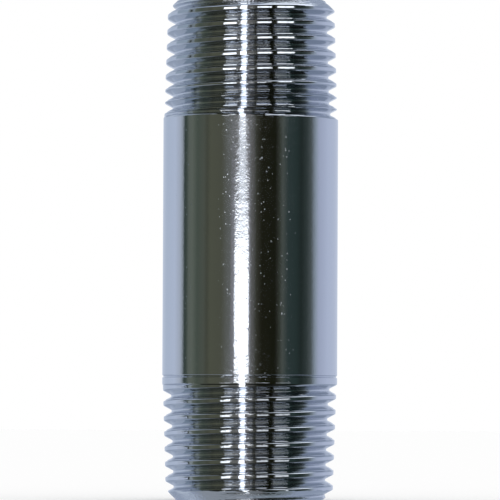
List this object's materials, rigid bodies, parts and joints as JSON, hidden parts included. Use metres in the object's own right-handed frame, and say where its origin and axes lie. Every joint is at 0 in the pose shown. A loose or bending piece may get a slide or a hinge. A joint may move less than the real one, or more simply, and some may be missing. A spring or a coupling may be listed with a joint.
{
  "type": "pipe nipple",
  "caption": "Straight chrome-plated barrel nipple with a plain polished middle and a male taper pipe thread at each end.",
  "frame": {"origin": "centre of the lower end face, on the tube's axis", "axes": "+Z along the tube's axis, from the lower thread (the end with the shallow band beside it) to the upper thread; +X and +Y across the tube, with the pictured side towards -Y"},
  "size_m": [0.021, 0.021, 0.06],
  "materials": {
    "chrome_plate": "bright nickel-chrome plating, with fine pits and hairline scratches, duller on the end chamfers"
  },
  "bodies": {
    "root": {"nipple": "chrome_plate"}
  },
  "joints": []
}
